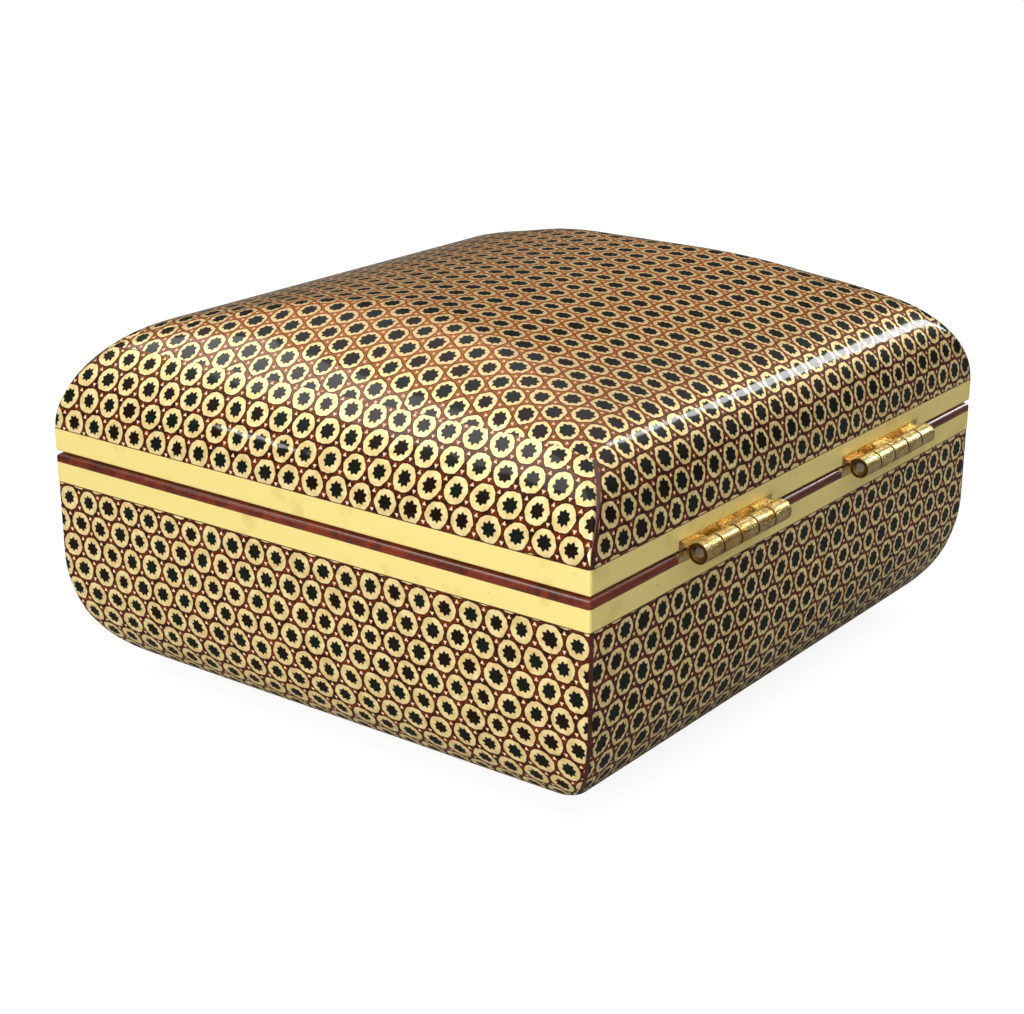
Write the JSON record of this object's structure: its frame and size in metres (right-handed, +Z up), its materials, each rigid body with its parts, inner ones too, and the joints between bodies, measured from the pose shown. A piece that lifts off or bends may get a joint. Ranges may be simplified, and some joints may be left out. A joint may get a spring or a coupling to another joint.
{
  "type": "khatam jewelry box",
  "caption": "Small wooden jewelry box with a domed hinged lid, covered in khatam marquetry, with brass edging strips and a velvet-lined hollow.",
  "frame": {"origin": "middle of the felt face that the box stands on", "axes": "+Z up out of the closed box, +X along the hinged side, +Y towards the hinges at the back"},
  "size_m": [0.1234, 0.1157, 0.0694],
  "materials": {
    "khatam": "clear gloss lacquer over marquetry",
    "case_wood": "plain softwood board",
    "lip_wood": "red stained, gloss lacquer",
    "band_brass": "polished, lacquered",
    "hinge_brass": "polished, stippled barrel",
    "nail_brass": "plain",
    "pin_steel": "drawn wire",
    "velvet": "short red pile",
    "felt": "pressed green felt"
  },
  "bodies": {
    "case": {"body_band_back": "band_brass", "body_band_front": "band_brass", "body_band_left": "band_brass", "body_band_right": "band_brass", "body_base_felt": "felt", "body_base_plate": "case_wood", "body_floor_board": "case_wood", "body_floor_pad": "velvet", "body_hinge_nails": "nail_brass", "body_khatam_back": "khatam", "body_khatam_front": "khatam", "body_khatam_left": "khatam", "body_khatam_right": "khatam", "body_lining_back": "velvet", "body_lining_front": "velvet", "body_lining_left": "velvet", "body_lining_right": "velvet", "body_lip_back": "lip_wood", "body_lip_front": "lip_wood", "body_lip_left": "lip_wood", "body_lip_right": "lip_wood", "body_wall_back": "case_wood", "body_wall_front": "case_wood", "body_wall_left": "case_wood", "body_wall_right": "case_wood", "hinge_left_body_leaf": "hinge_brass", "hinge_left_pin": "pin_steel", "hinge_right_body_leaf": "hinge_brass", "hinge_right_pin": "pin_steel"},
    "lid": {"hinge_left_lid_leaf": "hinge_brass", "hinge_right_lid_leaf": "hinge_brass", "lid_band_back": "band_brass", "lid_band_front": "band_brass", "lid_band_left": "band_brass", "lid_band_right": "band_brass", "lid_ceiling_pad": "velvet", "lid_ceiling_panel": "case_wood", "lid_hinge_nails": "nail_brass", "lid_khatam_left": "khatam", "lid_khatam_right": "khatam", "lid_khatam_top": "khatam", "lid_lining_back": "velvet", "lid_lining_front": "velvet", "lid_lining_left": "velvet", "lid_lining_right": "velvet", "lid_top_board": "case_wood", "lid_wall_back": "case_wood", "lid_wall_front": "case_wood", "lid_wall_left": "case_wood", "lid_wall_right": "case_wood"}
  },
  "joints": [
    {"name": "lid_hinge", "type": "hinge", "parent": "case", "child": "lid", "pos_m": [0, 0.058, 0.04075], "axis": [-1, 0, 0], "range_deg": [0, 180]}
  ]
}
